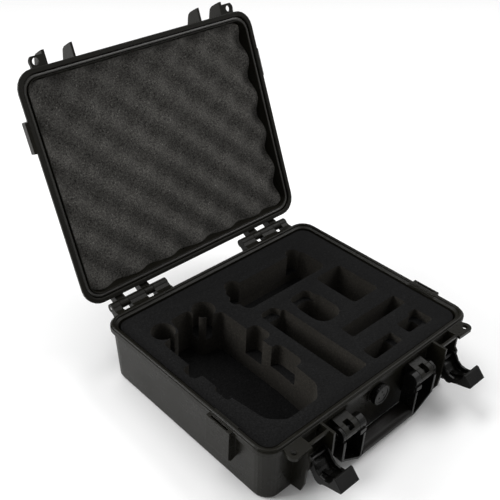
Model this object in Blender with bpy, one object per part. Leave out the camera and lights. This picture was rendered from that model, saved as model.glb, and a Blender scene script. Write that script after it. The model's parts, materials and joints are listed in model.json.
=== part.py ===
"""Drone carrying case: a hinged waterproof hard case, open, with cut foam.

Frame: metres, +Z up.  The origin is the centre of the flat face the case stands on.
The front, with the latches, handle and valve, faces -Y, and the width runs along X.
The lid is shown leaning back on its stop, the latches are open and the handle hangs.
"""
import math

import bmesh
import bpy
from mathutils import Matrix, Vector

MM = 0.001                      # every size below is in millimetres
GAP = 0.3                       # clearance left between two touching pieces

# --- driving sizes of the two shells ---------------------------------------
BASE_HALF = (165.0, 131.0)      # outer half width and half depth of the base flange
LID_OVERHANG = 5.0              # the lid flange stands this far outside the base flange
CORNER = 19.5                   # corner radius of the base flange
LEDGE_Z = 75.2                  # top of the base flange
FLANGE_LOW_Z = 69.0             # underside of the base flange
TONGUE_Z = 77.2                 # top of the ridge that presses on the gasket
TONGUE_INSET = 3.1              # from the base flange edge to the middle of the ridge
TONGUE_HALF = 2.0               # half the ridge's width
WALL_INSET = 3.5                # from the base flange edge to the wall below it
DRAFT = (4.5, 1.5)              # how far the side walls and the front and rear walls lean in at the floor
WALL = 4.0
FLOOR = 3.0
LID_FACE_Z = 75.5               # the lid's sealing face when it is closed
LID_FLANGE_Z = 79.2
LID_RIM_Z = 84.0                # top of the thick rim that holds the gasket
LID_TOP_Z = 114.0

# --- hinge -------------------------------------------------------------------
HINGE_Y = 146.0
HINGE_Z = 74.0
LID_OPEN = 113.3                # degrees from closed to leaning back
BARREL_R = 5.5
HINGE_PIN_R = 1.8
ARM_CENTRES = (90.0, 126.0)     # the lid's two arms on each hinge
ARM_WIDTH = 12.0
BRACKET_X = (62.5, 143.5)        # span of one hinge bracket

# --- front hardware ------------------------------------------------------------
INNER_RIB = (90.3, 93.1)         # spans of the ribs beside each latch
OUTER_RIB = (119.7, 122.5)
LID_OUTER_RIB = (126.0, 129.5)
RIB_FRONT_Y = -149.0
LATCH_AXIS = (-142.9, 49.9)     # Y and Z of the latch pins
LATCH_PIN_R = 1.6
PADLOCK_X = 139.4
PADLOCK_Y = (-139.9, -141.9)    # the hole in the base's tab and the one in the lid's
PADLOCK_R = (3.3, 4.1)
HANDLE_AXIS = (-141.4, 54.1)    # Y and Z of the handle pins
HANDLE_Y = (-151.3, -133.5)     # front and back of the handle's arms
ARM_X = (42.0, 76.6)            # inner and outer face of an arm
KNUCKLE_R = 8.7
HANDLE_PIN_R = 2.0
KNUCKLE_X = (51.5, 72.5)        # the base's knuckle between the two ears of an arm
VALVE_Z = 56.0
VALVE_R = 12.2
VALVE_FACES = (-129.0, -120.0)  # Y of the flat faces outside and inside the wall at the valve

# --- foam ----------------------------------------------------------------------
FOAM_TOP_Z = 71.5
PAD_TOP_Z = 14.5
LID_FOAM_FACE_Z = 80.5

# --- names ---------------------------------------------------------------------
PARTS = None
TOOLS = None
CORNER_STEPS = 6
PIN_SIDES = 12


# ============================ scene and materials ============================

def start_scene():
    """Empty the scene and make one collection for the parts and one for the cutters."""
    global PARTS, TOOLS
    for old in list(bpy.data.objects):
        bpy.data.objects.remove(old)
    PARTS = bpy.data.collections.new("drone_carrying_case")
    TOOLS = bpy.data.collections.new("cutters")
    bpy.context.scene.collection.children.link(PARTS)
    bpy.context.scene.collection.children.link(TOOLS)


def material(name, colour, roughness, metallic=0.0):
    """A Principled material of one colour."""
    made = bpy.data.materials.new(name)
    made.use_nodes = True
    shader = made.node_tree.nodes["Principled BSDF"]
    shader.inputs["Base Color"].default_value = (*colour, 1.0)
    shader.inputs["Roughness"].default_value = roughness
    shader.inputs["Metallic"].default_value = metallic
    return made


# ============================ shape helpers ============================

def arc(centre, radius, start, end, steps):
    """Points of an arc, angles in degrees."""
    points = []
    for index in range(steps + 1):
        angle = math.radians(start + (end - start) * index / steps)
        points.append((centre[0] + radius * math.cos(angle), centre[1] + radius * math.sin(angle)))
    return points


def rounded_rect(half_x, half_y, radius, steps=CORNER_STEPS):
    """Outline of a rounded rectangle about the origin, anticlockwise."""
    in_x = half_x - radius
    in_y = half_y - radius
    points = []
    for centre, start in (((in_x, in_y), 0), ((-in_x, in_y), 90), ((-in_x, -in_y), 180), ((in_x, -in_y), 270)):
        points += arc(centre, radius, start, start + 90, steps)
    return points


def rounded_box(x_low, x_high, y_low, y_high, radius, steps=4):
    """Outline of a rounded rectangle between two corners."""
    shift_x = (x_low + x_high) / 2
    shift_y = (y_low + y_high) / 2
    outline = rounded_rect((x_high - x_low) / 2, (y_high - y_low) / 2, radius, steps)
    return [(x + shift_x, y + shift_y) for x, y in outline]


def filleted(corners, radius, steps=3):
    """A polygon with each corner turned into a small curve."""
    points = []
    count = len(corners)
    for index, corner in enumerate(corners):
        here = Vector(corner)
        before = Vector(corners[index - 1]) - here
        after = Vector(corners[(index + 1) % count]) - here
        reach = min(radius, before.length * 0.45, after.length * 0.45)
        first = here + before.normalized() * reach
        last = here + after.normalized() * reach
        for step in range(steps + 1):
            t = step / steps
            point = first * (1 - t) ** 2 + here * 2 * t * (1 - t) + last * t ** 2
            points.append((point.x, point.y))
    return points


def circle(centre, radius, segments):
    """Outline of a regular polygon that stands for a circle."""
    return arc(centre, radius, 0, 360 * (segments - 1) / segments, segments - 1)


def to_space(axis, pair, along):
    """A point from its two outline coordinates and its place along the axis."""
    first, second = pair
    if axis == "X":
        return Vector((along, first, second)) * MM
    if axis == "Y":
        return Vector((first, along, second)) * MM
    return Vector((first, second, along)) * MM


def finish(name, mesh_builder, collection, finish_material=None):
    """Turn a bmesh into an object in a collection, with its faces pointing out."""
    bmesh.ops.recalc_face_normals(mesh_builder, faces=mesh_builder.faces)
    mesh = bpy.data.meshes.new(name)
    mesh_builder.to_mesh(mesh)
    mesh_builder.free()
    made = bpy.data.objects.new(name, mesh)
    collection.objects.link(made)
    if finish_material is not None:
        mesh.materials.append(finish_material)
    return made


def prism(name, outline, axis, low, high, finish_material=None):
    """A flat outline pushed along an axis.  With no material it is a cutter."""
    builder = bmesh.new()
    corners = [builder.verts.new(to_space(axis, pair, low)) for pair in outline]
    face = builder.faces.new(corners)
    grown = bmesh.ops.extrude_face_region(builder, geom=[face])
    moved = [item for item in grown["geom"] if isinstance(item, bmesh.types.BMVert)]
    shift = to_space(axis, (0, 0), high - low)
    bmesh.ops.translate(builder, verts=moved, vec=shift)
    return finish(name, builder, TOOLS if finish_material is None else PARTS, finish_material)


def block(name, low, high, finish_material=None):
    """An upright box between two corners."""
    first, last = Vector(low), Vector(high)
    builder = bmesh.new()
    stretch = Matrix.Diagonal((last - first) * MM).to_4x4()
    bmesh.ops.create_cube(builder, size=1.0, matrix=Matrix.Translation((first + last) / 2 * MM) @ stretch)
    return finish(name, builder, TOOLS if finish_material is None else PARTS, finish_material)


def rod(name, axis, centre, radius, low, high, segments=16, finish_material=None):
    """A round bar along an axis."""
    turn = {"X": Matrix.Rotation(math.pi / 2, 4, "Y"), "Y": Matrix.Rotation(math.pi / 2, 4, "X")}
    place = Matrix.Translation(to_space(axis, centre, (low + high) / 2)) @ turn.get(axis, Matrix.Identity(4))
    builder = bmesh.new()
    bmesh.ops.create_cone(builder, cap_ends=True, segments=segments, radius1=radius * MM, radius2=radius * MM,
                          depth=(high - low) * MM, matrix=place)
    return finish(name, builder, TOOLS if finish_material is None else PARTS, finish_material)


def loft(name, sections, finish_material=None):
    """A solid through rounded rectangles (half x, half y, radius, z), capped at both ends."""
    builder = bmesh.new()
    rings = []
    for half_x, half_y, radius, height in sections:
        outline = rounded_rect(half_x, half_y, radius)
        rings.append([builder.verts.new(Vector((x, y, height)) * MM) for x, y in outline])
    count = len(rings[0])
    for lower, upper in zip(rings, rings[1:]):
        for index in range(count):
            after = (index + 1) % count
            builder.faces.new((lower[index], lower[after], upper[after], upper[index]))
    builder.faces.new(rings[0])
    builder.faces.new(rings[-1])
    return finish(name, builder, TOOLS if finish_material is None else PARTS, finish_material)


def boolean(target, tool, operation):
    """Join a tool to a part or cut it away, and keep the tool out of the build."""
    step = target.modifiers.new(operation.lower() + "_" + tool.name, "BOOLEAN")
    step.operation = operation
    step.solver = "EXACT"
    step.object = tool
    tool.hide_render = True
    tool.display_type = "WIRE"


def add(target, *tools):
    for tool in tools:
        boolean(target, tool, "UNION")


def cut(target, *tools):
    for tool in tools:
        boolean(target, tool, "DIFFERENCE")


def with_tools(target):
    """A part and all the tools of its modifiers."""
    return [target] + [step.object for step in target.modifiers if step.type == "BOOLEAN"]


def set_pivot(target, pivot):
    """Give a part, and its tools, their origin on a joint's axis."""
    point = Vector(pivot) * MM
    for item in with_tools(target):
        item.data.transform(Matrix.Translation(-point))
        item.location = point


def hang_on(target, parent):
    """Give a part, and its tools, to a parent whose place is the joint's axis."""
    for item in with_tools(target):
        item.data.transform(Matrix.Translation(-parent.location))
        item.parent = parent


def smooth(target, angle=35):
    target.data.shade_smooth()
    target.data.set_sharp_from_angle(angle=math.radians(angle))


def sides(span, sign):
    """A span of X on the right, or the same span on the left."""
    low, high = sign * span[0], sign * span[1]
    return min(low, high), max(low, high)


# ============================ base ============================

def base_half(height):
    """Half width and half depth of the base's outer wall at a height."""
    part = 1 - min(height, FLANGE_LOW_Z) / FLANGE_LOW_Z
    return BASE_HALF[0] - WALL_INSET - DRAFT[0] * part, BASE_HALF[1] - WALL_INSET - DRAFT[1] * part


def base_body(plastic):
    """The base's tub: outer wall, flange, sealing ridge, inner wall and floor."""
    def ring(inset, height):
        return (BASE_HALF[0] - inset, BASE_HALF[1] - inset, CORNER - inset * 0.7, height)
    def wall(inset, height):
        half_x, half_y = base_half(height)
        return half_x - inset, half_y - inset, CORNER - (WALL_INSET + inset) * 0.7, height
    inner_top = WALL_INSET + WALL + 0.6
    sections = [
        wall(3.0, 0.0),
        wall(0.9, 1.0),
        wall(0.0, 3.6),
        ring(WALL_INSET, FLANGE_LOW_Z),
        ring(0.5, FLANGE_LOW_Z),
        ring(0.0, FLANGE_LOW_Z + 0.6),
        ring(0.0, LEDGE_Z - 0.6),
        ring(0.6, LEDGE_Z),
        ring(TONGUE_INSET - TONGUE_HALF - 0.3, LEDGE_Z),
        ring(TONGUE_INSET - TONGUE_HALF, LEDGE_Z - 0.5),
        ring(TONGUE_INSET - TONGUE_HALF + 0.2, TONGUE_Z - 1.0),
        ring(TONGUE_INSET - TONGUE_HALF + 1.0, TONGUE_Z - 0.25),
        ring(TONGUE_INSET, TONGUE_Z),
        ring(TONGUE_INSET + TONGUE_HALF - 1.0, TONGUE_Z - 0.25),
        ring(TONGUE_INSET + TONGUE_HALF - 0.2, TONGUE_Z - 1.0),
        ring(TONGUE_INSET + TONGUE_HALF, LEDGE_Z - 0.6),
        ring(inner_top, LEDGE_Z - 2.0),
        wall(WALL, FLOOR + 2.0),
        wall(WALL + 3.0, FLOOR),
    ]
    return loft("base_shell", sections, plastic)


def latch_bay(sign):
    """Two ribs, a cross bar and a padlock tab on one side of the front."""
    tag = "right" if sign > 0 else "left"
    top = LEDGE_Z - 0.2
    profile = [(-124, top), (RIB_FRONT_Y, top), (-149.5, 38), (-148, 20), (-142, 8), (-124, 4)]
    inner = prism("bay_inner_rib_" + tag, profile, "X", *sides(INNER_RIB, sign))
    profile = [(-124, top), (-143.3, top), (-143.5, 58), (-146.6, 54), (-146.6, 45), (-143.8, 40), (-143, 18),
               (-139.5, 6.5), (-124, 4)]
    outer = prism("bay_outer_rib_" + tag, profile, "X", *sides(OUTER_RIB, sign))
    low_x, high_x = sides((INNER_RIB[1] - 1, OUTER_RIB[0] + 1), sign)
    bar = block("bay_bar_" + tag, (low_x, -143.2, LEDGE_Z - 3.4), (high_x, -140.6, top))
    ear = arc((PADLOCK_X, PADLOCK_Y[0]), 7.4, -75, 30, 6)
    tab_outline = [(121, -124), (121, -146.5)] + ear + [(143.5, -131), (143.5, -124)]
    tab = prism("bay_tab_" + tag, [(sign * x, y) for x, y in tab_outline], "Z", LEDGE_Z - 4.2, top)
    return inner, outer, bar, tab


def padlock_hole(name, sign, place_y, radius, low, high):
    return rod("padlock_hole_" + name, "Z", (sign * PADLOCK_X, place_y), radius, low, high, 16)


def handle_knuckle(sign):
    """The knuckle on the front wall that an arm of the handle turns on, with its web."""
    tag = "right" if sign > 0 else "left"
    axis_y, axis_z = HANDLE_AXIS
    span = sides(KNUCKLE_X, sign)
    barrel = rod("knuckle_" + tag, "X", HANDLE_AXIS, KNUCKLE_R, *span, 20)
    web_outline = [(-124.5, 66), (-133, 64), (axis_y, axis_z + KNUCKLE_R - 0.2), (axis_y + 2, axis_z - 6),
                   (-132.8, 45.5), (-132.8, 30), (-124, 20)]
    web = prism("knuckle_web_" + tag, web_outline, "X", *span)
    slot_x = sides((58.5, 66.0), sign)
    slot = block("knuckle_slot_" + tag, (slot_x[0], -148.5, axis_z - 3.1), (slot_x[1], -137.5, 70))
    bore = rod("knuckle_bore_" + tag, "X", HANDLE_AXIS, HANDLE_PIN_R + GAP, *sides((50, 80), sign), PIN_SIDES)
    return (barrel, web), (slot, bore)


def strap_block(sign):
    """The block with a slot on a side wall."""
    tag = "right" if sign > 0 else "left"
    outline = [(157, 38), (166.5, 34), (170, 38), (170, LEDGE_Z - 0.2), (157, LEDGE_Z - 0.2)]
    body = prism("strap_block_" + tag, [(sign * x, z) for x, z in outline], "Y", -84, -50)
    slot_x = sides((166.0, 168.2), sign)
    slot = block("strap_slot_" + tag, (slot_x[0], -79, 62), (slot_x[1], -55, 80))
    return body, slot


def hinge_bracket(sign):
    """The bracket and three knuckles behind the base, cut for the lid's two arms."""
    tag = "right" if sign > 0 else "left"
    span = sides(BRACKET_X, sign)
    barrel = rod("bracket_barrel_" + tag, "X", (HINGE_Y, HINGE_Z), BARREL_R, *span, 18)
    web_outline = [(125, 74.4), (137, 74.4), (HINGE_Y, 78.6), (HINGE_Y + 2, HINGE_Z - 3), (HINGE_Y - 4, 66),
                   (134, 50), (124.5, 44)]
    web = prism("bracket_web_" + tag, web_outline, "X", *span)
    cutters = []
    for number, centre in enumerate(ARM_CENTRES):
        half = ARM_WIDTH / 2 + 0.5
        slot_x = sides((centre - half, centre + half), sign)
        name = "bracket_slot_%s_%d" % (tag, number)
        cutters.append(block(name, (slot_x[0], 133.5, 60), (slot_x[1], 156, 90)))
        relief = rod(name + "_relief", "X", (HINGE_Y, HINGE_Z), BARREL_R + 2.5, *slot_x, 18)
        cutters.append(relief)
    hollow_x = sides((101, 115), sign)
    cutters.append(block("bracket_hollow_" + tag, (hollow_x[0], 133.5, 40), (hollow_x[1], 139.5, 72)))
    end_x = sides((68, 79), sign)
    cutters.append(block("bracket_pocket_" + tag, (end_x[0], 133.5, 40), (end_x[1], 139.5, 72)))
    bore_x = sides((BRACKET_X[0] + 1.5, BRACKET_X[1] + 2), sign)
    cutters.append(rod("bracket_bore_" + tag, "X", (HINGE_Y, HINGE_Z), HINGE_PIN_R + GAP, *bore_x, PIN_SIDES))
    return (barrel, web), cutters


def make_base(plastic):
    base = base_body(plastic)
    for sign in (-1, 1):
        tag = "right" if sign > 0 else "left"
        inner, outer, bar, tab = latch_bay(sign)
        add(base, inner, outer, bar, tab)
        solids, cutters = handle_knuckle(sign)
        add(base, *solids)
        body, slot = strap_block(sign)
        add(base, body)
        bracket, bracket_cutters = hinge_bracket(sign)
        add(base, *bracket)
        cut(base, slot, *cutters, *bracket_cutters)
        cut(base, padlock_hole("base_" + tag, sign, PADLOCK_Y[0], PADLOCK_R[0], 60, 90))
        bore_x = sides((INNER_RIB[0] + 1, OUTER_RIB[1] - 0.9), sign)
        cut(base, rod("latch_bore_" + tag, "X", LATCH_AXIS, LATCH_PIN_R + GAP, *bore_x, PIN_SIDES))
    add(base, rod("valve_boss", "Y", (0, VALVE_Z), 13.6, VALVE_FACES[0], -124.0, 24))
    add(base, rod("valve_seat", "Y", (0, VALVE_Z), 10.5, -124.0, VALVE_FACES[1], 24))
    cut(base, rod("valve_hole", "Y", (0, VALVE_Z), 6.0 + GAP, -135, -110, 20))
    smooth(base)
    return base


# ============================ lid (modelled closed) ============================

def lid_body(plastic):
    """The lid's shell: crown, wall, rim and the face with the gasket channel."""
    half_x = BASE_HALF[0] + LID_OVERHANG
    half_y = BASE_HALF[1] + LID_OVERHANG
    def ring(inset, height):
        return (half_x - inset, half_y - inset, CORNER + 3 - inset * 0.7, height)
    seal = TONGUE_INSET + LID_OVERHANG
    half_channel = TONGUE_HALF + 0.5
    roof = LID_FACE_Z + 6.0
    inner = seal + half_channel + 0.9
    crown = ((28.0, LID_TOP_Z), (23.5, LID_TOP_Z - 0.6), (19.0, LID_TOP_Z - 3), (15.4, LID_TOP_Z - 7),
             (12.6, LID_TOP_Z - 12), (9.8, LID_TOP_Z - 18), (7.0, LID_TOP_Z - 24))
    sections = [(half_x - inset, half_y - inset, CORNER + 3 - inset * 0.45, height) for inset, height in crown]
    sections += [
        ring(5.2, LID_RIM_Z),
        ring(4.5, LID_RIM_Z - 1.0),
        ring(4.3, LID_FLANGE_Z),
        ring(0.6, LID_FLANGE_Z),
        ring(0.0, LID_FLANGE_Z - 0.6),
        ring(0.0, LID_FACE_Z + 0.5),
        ring(0.5, LID_FACE_Z),
        ring(4.2, LID_FACE_Z),
        ring(seal - half_channel - 0.3, LID_FACE_Z + 0.4),
        ring(seal - half_channel, LID_FACE_Z + 1.0),
        ring(seal - half_channel, roof),
        ring(seal + half_channel, roof),
        ring(seal + half_channel, LID_FACE_Z + 0.6),
        ring(inner - 0.3, LID_FACE_Z + 0.6),
        ring(inner, LID_FACE_Z + 1.0),
        ring(inner + 4.4, LID_TOP_Z - 7),
        ring(24.0, LID_TOP_Z - 3.5),
    ]
    return loft("lid_shell", sections, plastic)


def lid_lugs(sign):
    """The ribs and padlock tab in front of the lid, above the base's latch bay."""
    tag = "right" if sign > 0 else "left"
    low = LID_FACE_Z + 1.7
    profile = [(-130.5, low), (-152, low), (-151, 84.4), (-149.5, 92.6), (-147, 97), (-143.8, 99), (-136, 103),
               (-124, 106), (-119.5, 107.5), (-121.5, 103), (-125.3, 96), (-128.2, 90), (-130.3, 84)]
    inner = prism("lug_inner_" + tag, profile, "X", *sides(INNER_RIB, sign))
    outer = prism("lug_outer_" + tag, profile, "X", *sides(LID_OUTER_RIB, sign))
    ear = arc((PADLOCK_X, PADLOCK_Y[1]), 7.2, -60, 25, 6)
    tab_outline = [(127, -131.3), (127, -148)] + ear + [(146.0, -135), (146.0, -131.3)]
    tab = prism("lug_tab_" + tag, [(sign * x, y) for x, y in tab_outline], "Z", low, low + 4)
    return inner, outer, tab


def lid_bracket(sign):
    """The raised block on each side of the lid, over the base's strap block."""
    tag = "right" if sign > 0 else "left"
    outline = [(165.4, 76), (170, 76), (173, 78), (173, 86), (169, 91), (160.5, 93), (164.5, 84)]
    return prism("lid_block_" + tag, [(sign * x, z) for x, z in outline], "Y", -84, -49)


def lid_arms(sign):
    """The two hinge arms of the lid on one side, each with its knuckle."""
    solids = []
    for number, centre in enumerate(ARM_CENTRES):
        name = "arm_%s_%d" % ("right" if sign > 0 else "left", number)
        span = sides((centre - ARM_WIDTH / 2, centre + ARM_WIDTH / 2), sign)
        web = [(131.3, 80), (137.5, 79.5), (HINGE_Y - 5.2, HINGE_Z + 1.5), (HINGE_Y + 5.2, HINGE_Z + 1.5),
               (HINGE_Y + 4.5, 83), (139, 93), (131, 98), (125, 100.5), (123.2, 100), (125.6, 96), (128.4, 90),
               (130.6, 84.5)]
        solids.append(prism(name, web, "X", *span))
        solids.append(rod(name + "_knuckle", "X", (HINGE_Y, HINGE_Z), BARREL_R, *span, 18))
    return solids


def make_lid(plastic, pivot):
    lid = lid_body(plastic)
    for sign in (-1, 1):
        tag = "right" if sign > 0 else "left"
        add(lid, *lid_lugs(sign), lid_bracket(sign), *lid_arms(sign))
        cut(lid, padlock_hole("lid_" + tag, sign, PADLOCK_Y[1], PADLOCK_R[1], 70, 90))
        bore_x = sides((BRACKET_X[0], BRACKET_X[1]), sign)
        cut(lid, rod("arm_bore_" + tag, "X", (HINGE_Y, HINGE_Z), HINGE_PIN_R + GAP, *bore_x, PIN_SIDES))
    border = loft("lid_panel", [(128, 94, 12, LID_TOP_Z - 1.5), (126, 92, 11, LID_TOP_Z + 2.0)])
    well = loft("lid_panel_well", [(120, 86, 9, LID_TOP_Z + 0.2), (122, 88, 10, LID_TOP_Z + 3.0)])
    add(lid, border)
    cut(lid, well)
    for number in range(-2, 3):
        name = "lid_panel_rib_%d" % (number + 2)
        outline = rounded_box(number * 42.0 - 9, number * 42.0 + 9, -68, 68, 8.8, 5)
        add(lid, prism(name, outline, "Z", LID_TOP_Z - 1.0, LID_TOP_Z + 1.6))
    smooth(lid)
    hang_on(lid, pivot)
    return lid


def make_gasket(rubber, pivot):
    """The rubber ring in the lid's channel."""
    seal = TONGUE_INSET
    half = TONGUE_HALF + 0.2
    low = TONGUE_Z + GAP
    high = LID_FACE_Z + 6.0 - GAP
    def ring(inset, height):
        return (BASE_HALF[0] - inset, BASE_HALF[1] - inset, CORNER - inset * 0.7, height)
    builder = bmesh.new()
    profile = [(-half, (low + high) / 2), (-half * 0.7, low + 0.6), (0.0, low), (half * 0.7, low + 0.6),
               (half, (low + high) / 2), (half * 0.7, high), (-half * 0.7, high)]
    rings = []
    for offset, height in profile:
        half_x, half_y, radius, _ = ring(seal + offset, height)
        outline = rounded_rect(half_x, half_y, radius)
        rings.append([builder.verts.new(Vector((x, y, height)) * MM) for x, y in outline])
    count = len(rings[0])
    for number, lower in enumerate(rings):
        upper = rings[(number + 1) % len(rings)]
        for index in range(count):
            after = (index + 1) % count
            builder.faces.new((lower[index], lower[after], upper[after], upper[index]))
    gasket = finish("lid_gasket", builder, PARTS, rubber)
    smooth(gasket, 60)
    hang_on(gasket, pivot)
    return gasket


# ============================ pins ============================

def make_pins(steel):
    for sign in (-1, 1):
        tag = "right" if sign > 0 else "left"
        hinge_x = sides((BRACKET_X[0] + 2.0, BRACKET_X[1] - 0.3), sign)
        latch_x = sides((INNER_RIB[0] + 1.4, OUTER_RIB[1] - 1.2), sign)
        handle_x = sides((45.0, 75.9), sign)
        rod("hinge_pin_" + tag, "X", (HINGE_Y, HINGE_Z), HINGE_PIN_R, *hinge_x, PIN_SIDES, steel)
        rod("latch_pin_" + tag, "X", LATCH_AXIS, LATCH_PIN_R, *latch_x, PIN_SIDES, steel)
        rod("handle_pin_" + tag, "X", HANDLE_AXIS, HANDLE_PIN_R, *handle_x, PIN_SIDES, steel)


# ============================ latches ============================

def make_latch(sign, plastic):
    """A one-piece latch: pivot ears, a bowed arm and a hooked block at its end."""
    tag = "right" if sign > 0 else "left"
    lower = INNER_RIB[1] + 0.5
    upper = OUTER_RIB[0] - 0.5
    middle = (lower + upper) / 2
    span = sides((lower, upper), sign)
    outline = [(-138.5, 51.5), (-138.2, 47.5), (-140.5, 44.8), (-145.5, 41.5), (-149.5, 36.5), (-153.0, 32.6),
               (-156.5, 31.0), (-160.0, 31.6), (-162.0, 34.0), (-168.5, 36.4), (-177.0, 38.6), (-184.6, 41.0),
               (-185.5, 42.8), (-175.6, 53.0), (-173.6, 53.0), (-172.7, 48.1), (-169.1, 41.9), (-163.5, 40.6),
               (-157.5, 41.4), (-152.5, 45.0), (-149.6, 50.0), (-146.5, 54.0), (-142.0, 55.0)]
    latch = prism("latch_" + tag, outline, "X", *span, plastic)
    hollow = [(-137, 57), (-139.5, 45.8), (-146.5, 43.8), (-150.5, 39.0), (-154.5, 35.6), (-159.5, 35.6),
              (-163.5, 37.6), (-168.0, 39.2), (-170.3, 41.2), (-169.5, 46.0), (-160, 52), (-150, 60)]
    wall = 2.6
    gusset = 2.2
    cut(latch, prism("latch_hollow_" + tag, hollow, "X", *sides((lower + wall, upper - wall), sign)))
    brace = [(-152.0, 37.5), (-161.0, 34.0), (-171.5, 40.0), (-171.0, 45.0), (-161.0, 38.5)]
    add(latch, prism("latch_gusset_" + tag, brace, "X", *sides((middle - gusset, middle + gusset), sign)))
    bore_x = sides((lower - 2, upper + 2), sign)
    cut(latch, rod("latch_eye_" + tag, "X", LATCH_AXIS, LATCH_PIN_R + GAP, *bore_x, PIN_SIDES))
    smooth(latch, 25)
    set_pivot(latch, (sign * middle, *LATCH_AXIS))
    return latch


# ============================ handle ============================

def make_handle(plastic, rubber):
    """The swinging handle: two arms with ears, a bar and the sleeve on the bar."""
    axis_y, axis_z = HANDLE_AXIS
    front, back = HANDLE_Y
    near, far = ARM_X
    top = 50.0
    outline = [(far, top), (far, 23.7), (48, 7.2), (-48, 7.2), (-far, 23.7), (-far, top), (-near, top),
               (-near, 17), (near, 17), (near, top)]
    handle = prism("handle", outline, "Y", front, back, plastic)
    for sign in (-1, 1):
        tag = "right" if sign > 0 else "left"
        between = sides((KNUCKLE_X[0] - 0.5, KNUCKLE_X[1] + 0.5), sign)
        for name, span in (("outer", (KNUCKLE_X[1] + 0.5, far)), ("inner", (near, KNUCKLE_X[0] - 0.5))):
            add(handle, rod("ear_%s_%s" % (name, tag), "X", HANDLE_AXIS, KNUCKLE_R, *sides(span, sign), 20))
        recess = [(73.0, 52), (73.0, 24.6), (48, 10.2), (45.0, 10.2), (45.0, 44.5), (51.0, 44.5), (51.0, 52)]
        recess = [(sign * x, z) for x, z in recess]
        cut(handle, prism("arm_recess_" + tag, recess, "Y", front - 2, back - 3.5))
        cut(handle, block("arm_top_" + tag, (between[0], front - 1, 44.5), (between[1], back + 2, 70)))
        cut(handle, rod("arm_relief_" + tag, "X", HANDLE_AXIS, KNUCKLE_R + 0.7, *between, 20))
        notch_x = sides((near - 1, 45.5), sign)
        cut(handle, block("arm_notch_" + tag, (notch_x[0], front - 1, 43), (notch_x[1], front + 2.6, 45.2)))
        cut(handle, rod("arm_dimple_" + tag, "X", (-143.6, 45.0), 3.9, *sides((far - 0.9, far + 1), sign), 16))
        bore_x = sides((near + 2.7, far + 1), sign)
        cut(handle, rod("ear_bore_" + tag, "X", HANDLE_AXIS, HANDLE_PIN_R + GAP, *bore_x, PIN_SIDES))
    cut(handle, block("arm_gap", (-near, front - 4, 0), (near, back + 4, 60)))
    add(handle, prism("handle_bar", rounded_box(-148.5, -137.0, 8.9, 14.7, 2.4, 3), "X", -near - 1, near + 1))
    smooth(handle, 30)

    sleeve_x = near - GAP
    section = filleted([(-152.0, 6.0), (back, 6.5), (back, 20.2), (-152.0, 17.3)], 5.6, 5)
    sleeve = prism("handle_grip", section, "X", -sleeve_x, sleeve_x, rubber)
    cut(sleeve, prism("grip_bore", rounded_box(-148.8, -136.7, 8.6, 15.0, 2.6, 3), "X", -60, 60))
    smooth(sleeve, 40)
    set_pivot(handle, (0, axis_y, axis_z))
    set_pivot(sleeve, (0, axis_y, axis_z))


# ============================ pressure valve ============================

def make_valve(plastic, knob_plastic, rubber):
    """Valve: a threaded bush through the wall, its nut and seal, and the knob outside."""
    outside, inside = VALVE_FACES
    bush = rod("valve_bush", "Y", (0, VALVE_Z), 6.0, outside - 1.5, inside + 4.2, 20, plastic)
    add(bush, rod("bush_collar", "Y", (0, VALVE_Z), 8.0, outside - 2.0, outside - GAP, 20))
    cut(bush, rod("bush_bore", "Y", (0, VALVE_Z), 2.5, -140, -100, 12))
    smooth(bush)
    nut = prism("valve_nut", circle((0, VALVE_Z), 9.5, 6), "Y", inside + GAP, inside + 3.6, plastic)
    cut(nut, rod("nut_bore", "Y", (0, VALVE_Z), 6.0 + GAP, -140, -100, 20))
    seal = rod("valve_seal", "Y", (0, VALVE_Z), 9.6, outside - 2.0, outside - GAP, 20, rubber)
    cut(seal, rod("seal_bore", "Y", (0, VALVE_Z), 8.0 + GAP, -140, -100, 20))
    smooth(seal)

    teeth = 28
    outline = []
    for index in range(teeth):
        for part, radius in ((0.0, VALVE_R), (0.35, VALVE_R), (0.5, VALVE_R - 0.7), (0.85, VALVE_R - 0.7)):
            angle = 2 * math.pi * (index + part) / teeth
            outline.append((radius * math.cos(angle), VALVE_Z + radius * math.sin(angle)))
    knob = prism("valve_knob", outline, "Y", -136.8, -131.0 - GAP, knob_plastic)
    dish = rod("knob_dish", "Y", (0, VALVE_Z), VALVE_R - 2.6, -140.0, -136.2, 24)
    cut(knob, dish)
    for number in range(3):
        angle = math.radians(120 * number + 90)
        centre = (4.6 * math.cos(angle), VALVE_Z + 4.6 * math.sin(angle))
        cut(knob, rod("knob_vent_%d" % number, "Y", centre, 1.1, -140.0, -133.6, 8))
    set_pivot(knob, (0, -131.0, VALVE_Z))


# ============================ foam ============================

def foam_block(name, low_z, high_z, finish_material):
    """A block that fits the base's tub between two heights."""
    def section(height):
        half_x, half_y = base_half(height)
        clear = WALL + 1.6 + 0.9 * height / FLANGE_LOW_Z
        return (half_x - clear, half_y - clear, 13.5, height)
    return loft(name, [section(low_z), section(high_z)], finish_material)


def drone_outline():
    """Outline of the folded drone that the largest cut-out holds."""
    corners = [(-134, 62), (-134, -35), (-127, -90), (-111, -105), (-67, -105), (-52, -90), (-47, -35),
               (-47, 62), (-73, 66), (-76, 88), (-103, 88), (-107, 66)]
    return filleted(corners, 5)


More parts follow.
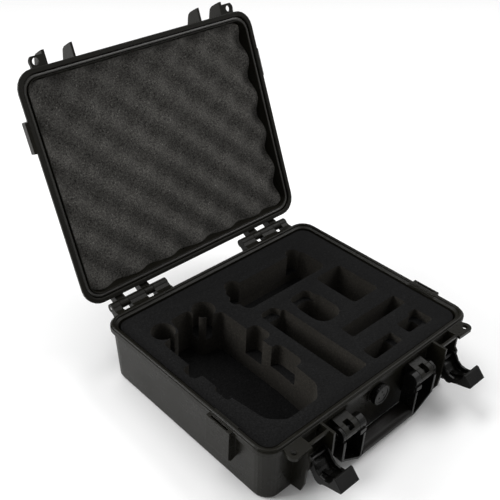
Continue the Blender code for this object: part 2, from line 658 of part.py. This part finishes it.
def foam_cuts():
    """Every cut-out as (name, outline, depth below the foam's top)."""
    deep = FOAM_TOP_Z - PAD_TOP_Z + 5
    return [
        ("drone", drone_outline(), deep),
        ("motor_left", circle((-121, 78), 14.5, 16), 34),
        ("motor_right", circle((-61, 78), 14.5, 16), 34),
        ("drone_finger_left", rounded_box(-145, -125, -4, 18, 7), 36),
        ("drone_notch_left", rounded_box(-138.5, -125, -48, -26, 4), 20),
        ("drone_finger_right", rounded_box(-56, -32, -6, 20, 8), 36),
        ("drone_notch_right", rounded_box(-56, -36.5, -58, -20, 8), 28),
        ("controller", rounded_box(-22, 113, 43, 88, 9), 42),
        ("controller_finger_left", circle((-5, 88), 11, 14), 30),
        ("controller_finger_right", circle((100, 88), 10, 14), 30),
        ("controller_stick", circle((-19, 66), 9, 14), 24),
        ("charger", rounded_box(83, 127, -28, 34, 5), 50),
        ("battery", rounded_box(24, 62, -31, 20, 15), 48),
        ("battery_step", rounded_box(27, 59, 4, 27, 8), 10),
        ("long_tool", rounded_box(-20, 11, -106, 18, 4), 52),
        ("long_tool_step", rounded_box(-19.5, 6, 4, 29, 8), 9),
        ("propeller", rounded_box(34, 129, -67, -49, 3), 40),
        ("card_left", rounded_box(24, 64, -106, -88, 3), 30),
        ("card_left_step", rounded_box(58, 72, -105.5, -88.5, 3), 9),
        ("card_right", rounded_box(88, 118, -103, -85, 3), 30),
        ("card_right_step", rounded_box(112, 128, -106, -81, 4), 11),
    ]


def make_foam(base_foam, lid_foam, pivot):
    pad = foam_block("base_foam_pad", FLOOR + GAP + 1.7, PAD_TOP_Z - GAP, base_foam)
    tray = foam_block("base_foam_tray", PAD_TOP_Z, FOAM_TOP_Z, base_foam)
    for name, outline, depth in foam_cuts():
        cut(tray, prism("cut_" + name, outline, "Z", FOAM_TOP_Z - depth, FOAM_TOP_Z + 5))
    cut(tray, block("cut_valve_nut", (-12, -130, 44), (12, -114.5, 68)))
    back = (146.0, 112.0, 12, LID_TOP_Z - 5.0)
    face = (157.4, 123.4, 15, LID_FOAM_FACE_Z)
    cover = loft("lid_foam", [back, face], lid_foam)
    hang_on(cover, pivot)
    return pad, tray, cover


# ============================ assembly ============================

def main():
    start_scene()
    shell = material("case_plastic", (0.022, 0.022, 0.023), 0.55)
    trim = material("trim_plastic", (0.018, 0.018, 0.019), 0.45)
    rubber = material("black_rubber", (0.03, 0.03, 0.03), 0.75)
    steel = material("pin_steel", (0.45, 0.45, 0.46), 0.35, 1.0)
    cut_foam = material("base_foam_grey", (0.028, 0.028, 0.029), 0.95)
    egg_foam = material("lid_foam_grey", (0.06, 0.058, 0.055), 0.95)

    pivot = bpy.data.objects.new("lid_pivot", None)
    PARTS.objects.link(pivot)
    pivot.location = Vector((0, HINGE_Y, HINGE_Z)) * MM

    make_base(shell)
    make_lid(shell, pivot)
    make_gasket(rubber, pivot)
    make_pins(steel)
    make_latch(-1, trim)
    make_latch(1, trim)
    make_handle(trim, rubber)
    make_valve(trim, trim, rubber)
    make_foam(cut_foam, egg_foam, pivot)
    pivot.rotation_euler = (-math.radians(LID_OPEN), 0, 0)
    bpy.context.view_layer.update()


main()
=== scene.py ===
"""Looks of the drone carrying case: foams, materials, light, floor and camera."""
import json
import math

import bmesh
import bpy
from mathutils import Matrix, Vector, noise


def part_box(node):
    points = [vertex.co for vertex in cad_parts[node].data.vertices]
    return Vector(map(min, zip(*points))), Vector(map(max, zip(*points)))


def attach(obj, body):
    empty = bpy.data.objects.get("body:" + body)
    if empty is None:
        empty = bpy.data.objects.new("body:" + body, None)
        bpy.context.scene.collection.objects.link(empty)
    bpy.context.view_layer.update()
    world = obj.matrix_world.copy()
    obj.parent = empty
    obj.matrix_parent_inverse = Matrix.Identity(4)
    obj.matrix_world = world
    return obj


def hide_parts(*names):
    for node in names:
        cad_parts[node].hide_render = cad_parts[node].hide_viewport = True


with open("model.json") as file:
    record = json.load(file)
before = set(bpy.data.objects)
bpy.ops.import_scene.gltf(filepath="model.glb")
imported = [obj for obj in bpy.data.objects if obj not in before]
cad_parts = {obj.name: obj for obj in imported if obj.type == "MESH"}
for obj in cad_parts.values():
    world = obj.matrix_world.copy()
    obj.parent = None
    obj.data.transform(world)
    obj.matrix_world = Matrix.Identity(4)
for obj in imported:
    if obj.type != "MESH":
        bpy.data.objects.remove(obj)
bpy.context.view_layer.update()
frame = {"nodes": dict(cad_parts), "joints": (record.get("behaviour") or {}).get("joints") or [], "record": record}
nodes = frame["nodes"]
joints = {joint["name"]: joint for joint in frame["joints"]}
MM = 0.001

# The lid's own frame: closed, with its sealing face down.  Open is a turn back about the hinge.
hinge = joints["lid_hinge"]
HINGE = Vector(hinge["pos_m"])
LID_TURN = Matrix.Translation(HINGE) @ Matrix.Rotation(-math.radians(hinge["range_deg"][1]), 4, "X") \
    @ Matrix.Translation(-HINGE)


# ============================ node helpers ============================

class Tree:
    """A small builder for one material's nodes."""

    def __init__(self, name):
        self.material = bpy.data.materials.new(name)
        self.material.use_nodes = True
        self.tree = self.material.node_tree
        self.shader = self.tree.nodes["Principled BSDF"]

    def add(self, kind, settings=None, **inputs):
        node = self.tree.nodes.new("ShaderNode" + kind)
        for key, value in (settings or {}).items():
            setattr(node, key, value)
        for key, value in inputs.items():
            self.put(node, key.replace("_", " "), value)
        return node

    def put(self, node, name, value):
        """Give an input a number, or wire it to an output socket."""
        socket = node.inputs[int(name)] if name.isdigit() else node.inputs[name]
        if isinstance(value, bpy.types.NodeSocket):
            self.tree.links.new(value, socket)
        else:
            socket.default_value = value

    def place(self, scale=(1, 1, 1), turn=(0, 0, 0)):
        """Object coordinates, in metres, scaled and turned."""
        where = self.add("TexCoord").outputs["Object"]
        return self.add("Mapping", Vector=where, Scale=scale, Rotation=turn).outputs["Vector"]

    def noise(self, scale, detail=2.0, rough=0.5, where=None):
        made = self.add("TexNoise", Scale=scale, Detail=detail, Roughness=rough)
        self.put(made, "Vector", where or self.place())
        return made.outputs["Fac"]

    def span(self, value, low, high, to_low, to_high):
        """A value brought from one range to another, and held inside it."""
        made = self.add("MapRange", {"clamp": True}, Value=value)
        ends = {"From Min": low, "From Max": high, "To Min": to_low, "To Max": to_high}
        for name, number in ends.items():
            made.inputs[name].default_value = number
        return made.outputs["Result"]

    def sum(self, kind, first, second):
        made = self.add("Math", {"operation": kind})
        self.put(made, "0", first)
        self.put(made, "1", second)
        return made.outputs["Value"]

    def blend(self, factor, first, second):
        """A colour between two colours."""
        made = self.add("Mix", {"data_type": "RGBA"})
        self.tree.links.new(factor, made.inputs[0])
        for socket, value in ((made.inputs[6], first), (made.inputs[7], second)):
            if isinstance(value, bpy.types.NodeSocket):
                self.tree.links.new(value, socket)
            else:
                socket.default_value = (*value, 1.0)
        return made.outputs[2]

    def times(self, colour, amount):
        """A colour times a number."""
        grey = self.add("CombineColor")
        for channel in ("Red", "Green", "Blue"):
            self.tree.links.new(amount, grey.inputs[channel])
        made = self.add("Mix", {"data_type": "RGBA", "blend_type": "MULTIPLY"})
        made.inputs[0].default_value = 1.0
        self.tree.links.new(colour, made.inputs[6])
        self.tree.links.new(grey.outputs["Color"], made.inputs[7])
        return made.outputs[2]

    def bump(self, height, distance, strength=1.0, normal=None):
        made = self.add("Bump", Height=height, Strength=strength, Distance=distance)
        if normal is not None:
            self.put(made, "Normal", normal)
        return made.outputs["Normal"]

    def soft_edge(self, radius):
        """A normal that rounds the edges, and a mask that is 1 on them."""
        rounded = self.add("Bevel", {"samples": 6}, Radius=radius).outputs["Normal"]
        facing = self.add("NewGeometry").outputs["Normal"]
        dot = self.add("VectorMath", {"operation": "DOT_PRODUCT"})
        self.tree.links.new(rounded, dot.inputs[0])
        self.tree.links.new(facing, dot.inputs[1])
        return rounded, self.span(dot.outputs["Value"], 0.80, 0.99, 1.0, 0.0)


def scaled(colour, factor):
    return tuple(part * factor for part in colour)


# ============================ materials ============================

def moulded_plastic(name, colour, roughness, grain, grain_depth, edge_radius):
    """Moulded plastic: fine grain, faint scuffs, uneven gloss, and edges painted lighter, partly wear from rubbing
    and partly painted highlight.
    """
    made = Tree(name)
    rounded, edge = made.soft_edge(edge_radius)
    cloud = made.noise(22.0, 3.0)
    fine = made.noise(grain, 3.0, 0.6)
    scratch = made.noise(60.0, 4.0, 0.7, made.place((1.0, 14.0, 5.0), (0.3, 0.5, 0.7)))
    scuff = made.span(scratch, 0.66, 0.74, 0.0, 1.0)
    tone = made.blend(cloud, scaled(colour, 0.82), scaled(colour, 1.22))
    tone = made.blend(made.span(fine, 0.35, 0.65, 0.0, 0.6), tone, scaled(colour, 1.5))
    tone = made.blend(made.sum("MULTIPLY", scuff, 0.25), tone, scaled(colour, 2.2))
    # Edges painted lighter: part wear from rubbing, part painted highlight on the rounded edges.
    edge_wear_and_painted_highlight = made.sum("MULTIPLY", edge, made.span(cloud, 0.3, 0.7, 0.15, 0.75))
    tone = made.blend(edge_wear_and_painted_highlight, tone, scaled(colour, 4.0))
    gloss = made.span(cloud, 0.3, 0.7, roughness - 0.05, roughness + 0.06)
    gloss = made.sum("ADD", gloss, made.span(made.noise(360.0, 4.0, 0.75), 0.35, 0.65, -0.06, 0.06))
    gloss = made.sum("SUBTRACT", gloss, made.sum("MULTIPLY", edge, 0.14))
    made.put(made.shader, "Base Color", tone)
    made.put(made.shader, "Roughness", gloss)
    made.put(made.shader, "Specular IOR Level", 0.12)
    normal = made.bump(fine, grain_depth, 0.8, rounded)
    made.put(made.shader, "Normal", made.bump(scuff, -0.00002, 0.5, normal))
    return made.material


def rubber(name, colour, roughness, grain, grain_depth, specular=0.09):
    """Matte elastomer with a fine skin."""
    made = Tree(name)
    rounded, edge = made.soft_edge(0.0008)
    cloud = made.noise(30.0, 3.0)
    fine = made.noise(grain, 2.0, 0.6)
    tone = made.blend(cloud, scaled(colour, 0.8), scaled(colour, 1.3))
    tone = made.blend(made.span(fine, 0.4, 0.7, 0.0, 0.5), tone, scaled(colour, 1.8))
    # Edges painted lighter: a painted highlight on the rounded edges.
    tone = made.blend(made.sum("MULTIPLY", edge, 0.4), tone, scaled(colour, 2.0))
    made.put(made.shader, "Base Color", tone)
    made.put(made.shader, "Roughness", made.span(cloud, 0.3, 0.7, roughness - 0.06, roughness + 0.06))
    made.put(made.shader, "Specular IOR Level", specular)
    made.put(made.shader, "Normal", made.bump(fine, grain_depth, 0.8, rounded))
    return made.material


def steel(name, dark, light):
    """Drawn steel: fine lines along the pin."""
    made = Tree(name)
    line = made.noise(900.0, 3.0, 0.6, made.place((0.05, 1.0, 1.0)))
    cloud = made.noise(80.0, 2.0)
    tone = made.blend(line, dark, light)
    tone = made.blend(made.span(cloud, 0.55, 0.8, 0.0, 0.5), tone, scaled(dark, 0.5))
    made.put(made.shader, "Base Color", tone)
    made.shader.inputs["Metallic"].default_value = 1.0
    made.put(made.shader, "Roughness", made.span(line, 0.3, 0.7, 0.24, 0.40))
    made.put(made.shader, "Normal", made.bump(line, 0.00002, 0.5))
    return made.material


def foam(name, colour, wall_colour, cell, cell_depth, speckle):
    """Polyurethane foam: open cells, light and dark specks, and on the sides of cuts a warmer tone that is also
    painted much lighter than the top, as painted light on the shaded slot walls.
    """
    made = Tree(name)
    where = made.place()
    cells = made.add("TexVoronoi", {"feature": "F1"}, Scale=cell, Vector=where).outputs["Distance"]
    grit = made.noise(cell * 0.55, 4.0, 0.85, where)
    speck = made.noise(cell * 0.5, 2.0, 0.6, made.place((1.0, 1.0, 1.0), (0.5, 0.8, 0.2)))
    cloud = made.noise(14.0, 3.0, 0.5, where)
    amount = made.sum("MULTIPLY", made.span(grit, 0.36, 0.64, 1.0 - speckle, 1.0 + speckle),
                      made.span(cloud, 0.3, 0.7, 0.9, 1.1))
    amount = made.sum("ADD", amount, made.span(speck, 0.63, 0.73, 0.0, 2.2 * speckle))
    # The sides of cuts get a warmer tone, set much lighter than the top. The extra lightness is painted light
    # where the slot walls lie in shade.
    if wall_colour:
        up = made.add("SeparateXYZ", Vector=made.add("TexCoord").outputs["Normal"]).outputs["Z"]
        flat = made.span(made.sum("ABSOLUTE", up, 0.0), 0.35, 0.8, 0.0, 1.0)
        tone = made.blend(flat, wall_colour, colour)
        share = made.span(flat, 0.0, 1.0, 0.45, 1.0)
        amount = made.sum("ADD", made.sum("MULTIPLY", made.sum("SUBTRACT", amount, 1.0), share), 1.0)
    else:
        tone = made.blend(cloud, scaled(colour, 0.9), scaled(colour, 1.1))
    made.put(made.shader, "Base Color", made.times(tone, amount))
    made.put(made.shader, "Roughness", made.span(grit, 0.3, 0.7, 0.88, 1.0))
    made.put(made.shader, "Specular IOR Level", 0.08)
    made.put(made.shader, "Sheen Weight", 0.015)
    made.put(made.shader, "Sheen Roughness", 0.6)
    normal = made.bump(cells, cell_depth, 0.9)
    made.put(made.shader, "Normal", made.bump(grit, cell_depth, 0.6, normal))
    return made.material


# Grain and cell are scales per metre, and depths and radii are in metres.
shell_plastic = moulded_plastic("shell_plastic_look", (0.0060, 0.0056, 0.0040), roughness=0.32,
                                grain=1300.0, grain_depth=0.00015, edge_radius=0.0007)
trim_plastic = moulded_plastic("trim_plastic_look", (0.0030, 0.0029, 0.0026), roughness=0.22,
                               grain=2200.0, grain_depth=0.00004, edge_radius=0.0009)
seal_rubber = rubber("seal_rubber_look", (0.008, 0.008, 0.0076), roughness=0.42,
                     grain=1800.0, grain_depth=0.00004)
# The gasket's rubber is painted a lighter grey than the seal rubber. This is a painted highlight, so that the
# gasket reads as a bright band.
painted_highlight_gasket_rubber = rubber("painted_highlight_gasket_look", (0.028, 0.027, 0.024), roughness=0.27,
                       grain=1800.0, grain_depth=0.00003, specular=0.42)
grip_rubber = rubber("grip_rubber_look", (0.0045, 0.0038, 0.0032), roughness=0.36,
                     grain=1100.0, grain_depth=0.00012)
pin_steel = steel("pin_steel_look", (0.30, 0.30, 0.31), (0.52, 0.51, 0.50))
# The latch pins get near-black steel. This is painted shade, so the pivots inside the latch bays stay dark.
painted_shade_steel = steel("painted_shade_steel_look", (0.018, 0.018, 0.019), (0.040, 0.039, 0.038))
# The second colour, for the sides of cuts, is a warmer tone painted much lighter than the top to stand in for
# light on the shaded slot walls.
tray_foam_look = foam("tray_foam_look", (0.0046, 0.0046, 0.0047), (0.0215, 0.0195, 0.0165),
                      cell=760.0, cell_depth=0.00030, speckle=0.80)
lid_foam_look = foam("lid_foam_look", (0.056, 0.054, 0.050), None,
                     cell=950.0, cell_depth=0.00034, speckle=0.85)

LOOKS = {
    "case_plastic": shell_plastic,
    "trim_plastic": trim_plastic,
    "black_rubber": seal_rubber,
    "pin_steel": pin_steel,
    "base_foam_grey": tray_foam_look,
    "lid_foam_grey": lid_foam_look,
}
OWN_LOOKS = {"handle_grip": grip_rubber, "lid_gasket": painted_highlight_gasket_rubber,
             "latch_pin_left": painted_shade_steel, "latch_pin_right": painted_shade_steel}
slot_of = {part["node"]: part["material_slot"] for part in frame["record"]["subparts"]}
for node_name, cad in nodes.items():
    look = OWN_LOOKS.get(node_name, LOOKS[slot_of[node_name]])
    cad.data.materials.clear()
    cad.data.materials.append(look)


# ============================ foams ============================

def round_corner(x, y, half_x, half_y, radius):
    """Pull a point of a square-cornered plate onto one with round corners."""
    over_x = abs(x) - (half_x - radius)
    over_y = abs(y) - (half_y - radius)
    if over_x <= 0 or over_y <= 0:
        return x, y
    scale = max(over_x, over_y) / math.hypot(over_x, over_y)
    return (math.copysign(half_x - radius + over_x * scale, x),
            math.copysign(half_y - radius + over_y * scale, y))


SIDE_STEPS = 6                  # rows of faces down a foam plate's side
SIDE_WOBBLE = 0.5               # how far, in mm, a cut side strays from straight


def foam_plate(name, front, back, pitch, height_at, look, turn=None):
    """A foam plate in millimetres: a shaped front, straight sides and a flat back.

    front is (half x, half y, corner radius), and height_at gives its Z.  back has its Z last.
    """
    half_x, half_y, radius = front
    count_x = round(2 * half_x / pitch)
    count_y = round(2 * half_y / pitch)
    builder = bmesh.new()
    rows = []
    for row in range(count_y + 1):
        line = []
        for column in range(count_x + 1):
            flat_x = -half_x + 2 * half_x * column / count_x
            flat_y = -half_y + 2 * half_y * row / count_y
            x, y = round_corner(flat_x, flat_y, half_x, half_y, radius)
            line.append(builder.verts.new(Vector((x, y, height_at(x, y))) * MM))
        rows.append(line)
    for row in range(count_y):
        for column in range(count_x):
            builder.faces.new((rows[row][column], rows[row][column + 1], rows[row + 1][column + 1],
                               rows[row + 1][column]))
    rim = rows[0][:-1] + [line[-1] for line in rows[:-1]]
    rim += rows[-1][:0:-1] + [line[0] for line in rows[:0:-1]]
    rings = [rim]
    back_x, back_y, back_radius, back_z = back
    for step in range(1, SIDE_STEPS + 1):
        part = step / SIDE_STEPS
        ring = []
        for corner in rim:
            x, y, z = corner.co / MM
            goal_x, goal_y = round_corner(x * back_x / half_x, y * back_y / half_y,
                                          back_x, back_y, back_radius)
            wave = noise.noise(Vector((x, y, z + 40 * part)) * 0.09)
            wobble = SIDE_WOBBLE * wave * math.sin(math.pi * part)
            place = Vector((x + (goal_x - x) * part + wobble, y + (goal_y - y) * part + wobble,
                            z + (back_z - z) * part))
            ring.append(builder.verts.new(place * MM))
        rings.append(ring)
    for upper, lower in zip(rings, rings[1:]):
        for index in range(len(rim)):
            after = (index + 1) % len(rim)
            builder.faces.new((upper[index], upper[after], lower[after], lower[index]))
    builder.faces.new(rings[-1])
    bmesh.ops.recalc_face_normals(builder, faces=builder.faces)
    if turn is not None:
        bmesh.ops.transform(builder, matrix=turn, verts=builder.verts)
    mesh = bpy.data.meshes.new(name)
    builder.to_mesh(mesh)
    builder.free()
    mesh.materials.append(look)
    made = bpy.data.objects.new(name, mesh)
    bpy.context.scene.collection.objects.link(made)
    mesh.shade_smooth()
    mesh.set_sharp_from_angle(angle=math.radians(50))
    return made


LID_FOAM_FRONT = (156.9, 122.9, 15.0)           # half width, half depth and corner radius, in mm
LID_FOAM_BACK = (145.5, 111.5, 12.0, 109.0)     # the same, and its height in the closed lid's own frame
LID_FOAM_MESH = 1.6
EGG_PITCH = 49.0                # one full wave of the egg-crate, along X and along Y
EGG_START = (7.2, -2.2)         # where the waves start, from the lid's middle
EGG_PEAK_Z = 81.4               # the peaks, in the closed lid's own frame
EGG_DEPTH = 10.12               # from peak to hollow


def egg_crate(x, y):
    """Height of the egg-crate's surface in the closed lid's own frame."""
    wave_x = math.cos(2 * math.pi * (x - EGG_START[0]) / EGG_PITCH)
    wave_y = math.cos(2 * math.pi * (y - EGG_START[1]) / EGG_PITCH)
    wave = -wave_x * wave_y
    swell = 0.54 * noise.noise(Vector((x, y, 3.0)) * 0.03) + 0.21 * noise.noise(Vector((x, y, 9.0)) * 0.12)
    return EGG_PEAK_Z + EGG_DEPTH * 0.5 * (1 - wave) + swell


lid_foam = foam_plate("egg_crate_foam", LID_FOAM_FRONT, LID_FOAM_BACK, LID_FOAM_MESH, egg_crate,
                      lid_foam_look, LID_TURN)
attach(lid_foam, "lid")
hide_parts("lid_foam")

pad_low, pad_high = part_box("base_foam_pad")
PAD_HALF_X = pad_high.x / MM
PAD_HALF_Y = pad_high.y / MM
PAD_RADIUS = 16.0
PAD_WAVE = 0.15                 # how uneven the pad's top is, in mm
PAD_MESH = 4.0


def pad_top(x, y):
    """Height of the flat pad's slightly uneven top."""
    return pad_high.z / MM - PAD_WAVE + PAD_WAVE * noise.noise(Vector((x, y, 0.0)) * 0.05)


pad_front = (PAD_HALF_X - 0.3, PAD_HALF_Y - 0.3, PAD_RADIUS)
pad_back = (PAD_HALF_X - 1.0, PAD_HALF_Y - 1.0, PAD_RADIUS, pad_low.z / MM)
pad = foam_plate("foam_pad", pad_front, pad_back, PAD_MESH, pad_top, tray_foam_look)
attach(pad, "base")
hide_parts("base_foam_pad")


CUT_EDGE = 0.9                  # radius of the foam's cut edges, in mm


def soft_tray():
    """The cut foam: the CAD block with its cut edges eased."""
    builder = bmesh.new()
    builder.from_mesh(nodes["base_foam_tray"].data)
    bmesh.ops.remove_doubles(builder, verts=builder.verts, dist=0.00001)
    bmesh.ops.dissolve_limit(builder, angle_limit=math.radians(1.0), verts=builder.verts, edges=builder.edges)
    mesh = bpy.data.meshes.new("cut_foam_tray")
    builder.to_mesh(mesh)
    builder.free()
    mesh.materials.clear()
    mesh.materials.append(tray_foam_look)
    made = bpy.data.objects.new("cut_foam_tray", mesh)
    bpy.context.scene.collection.objects.link(made)
    eased = made.modifiers.new("eased", "BEVEL")
    eased.width = CUT_EDGE * MM
    eased.segments = 3
    eased.limit_method = "ANGLE"
    eased.angle_limit = math.radians(50)
    bpy.context.view_layer.objects.active = made
    bpy.ops.object.modifier_apply(modifier="eased")
    mesh.shade_smooth()
    mesh.set_sharp_from_angle(angle=math.radians(40))
    return made


tray = soft_tray()
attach(tray, "base")
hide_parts("base_foam_tray")


# ============================ floor, light and camera ============================

def floor_look():
    made = Tree("floor_look")
    cloud = made.noise(1.5, 2.0)
    made.put(made.shader, "Base Color", made.blend(cloud, (0.94, 0.94, 0.94), (0.97, 0.97, 0.97)))
    made.put(made.shader, "Roughness", 0.7)
    return made.material


def make_floor():
    builder = bmesh.new()
    bmesh.ops.create_grid(builder, x_segments=4, y_segments=4, size=6.0)
    mesh = bpy.data.meshes.new("floor")
    builder.to_mesh(mesh)
    builder.free()
    mesh.materials.append(floor_look())
    floor = bpy.data.objects.new("floor", mesh)
    bpy.context.scene.collection.objects.link(floor)
    floor.location.z = -0.0004


def area_light(name, place, target, size, watts):
    """A white softbox that faces a target."""
    data = bpy.data.lights.new(name, "AREA")
    data.shape = "RECTANGLE"
    data.size, data.size_y = size
    data.energy = watts
    lamp = bpy.data.objects.new(name, data)
    bpy.context.scene.collection.objects.link(lamp)
    lamp.location = place
    lamp.rotation_mode = "QUATERNION"
    lamp.rotation_quaternion = (Vector(target) - Vector(place)).to_track_quat("-Z", "Y")


CAMERA_PLACE = (-0.5368, -0.4579, 0.6511)
CAMERA_YAW = 41.244             # degrees from +Y towards +X
CAMERA_PITCH = 34.315           # degrees below level
CAMERA_ROLL = -0.453


def make_camera():
    """The point of view, above the case's front left corner."""
    yaw, pitch, roll = (math.radians(angle) for angle in (CAMERA_YAW, CAMERA_PITCH, CAMERA_ROLL))
    forward = Vector((math.sin(yaw) * math.cos(pitch), math.cos(yaw) * math.cos(pitch), -math.sin(pitch)))
    level = Vector((math.cos(yaw), -math.sin(yaw), 0.0))
    down = forward.cross(level)
    right = math.cos(roll) * level + math.sin(roll) * down
    up = math.sin(roll) * level - math.cos(roll) * down
    data = bpy.data.cameras.new("camera")
    data.sensor_width = 36.0
    data.lens = 56.94
    data.shift_x = 0.10
    data.shift_y = -0.01
    data.clip_start = 0.01
    data.clip_end = 50.0
    camera = bpy.data.objects.new("camera", data)
    bpy.context.scene.collection.objects.link(camera)
    turn = Matrix((right, up, -forward)).transposed().to_4x4()
    turn.translation = Vector(CAMERA_PLACE)
    camera.matrix_world = turn
    bpy.context.scene.camera = camera


def make_world():
    """A plain white surround."""
    world = bpy.data.worlds.new("studio")
    world.use_nodes = True
    background = world.node_tree.nodes["Background"]
    background.inputs["Color"].default_value = (1.0, 1.0, 1.0, 1.0)
    background.inputs["Strength"].default_value = 0.36
    bpy.context.scene.world = world
    bpy.context.scene.view_settings.view_transform = "Standard"


make_floor()
area_light("key_light", (1.5, -0.35, 1.9), (0.0, 0.0, 0.1), (1.6, 1.6), 28.0)
area_light("front_light", (1.0, -1.8, 1.0), (0.0, 0.0, 0.1), (1.4, 0.8), 4.0)
area_light("top_light", (-0.2, 0.9, 2.2), (0.0, 0.0, 0.1), (1.6, 0.8), 20.0)
area_light("side_light", (-1.6, 1.1, 0.9), (0.0, 0.0, 0.05), (1.2, 0.8), 36.0)
make_world()
make_camera()
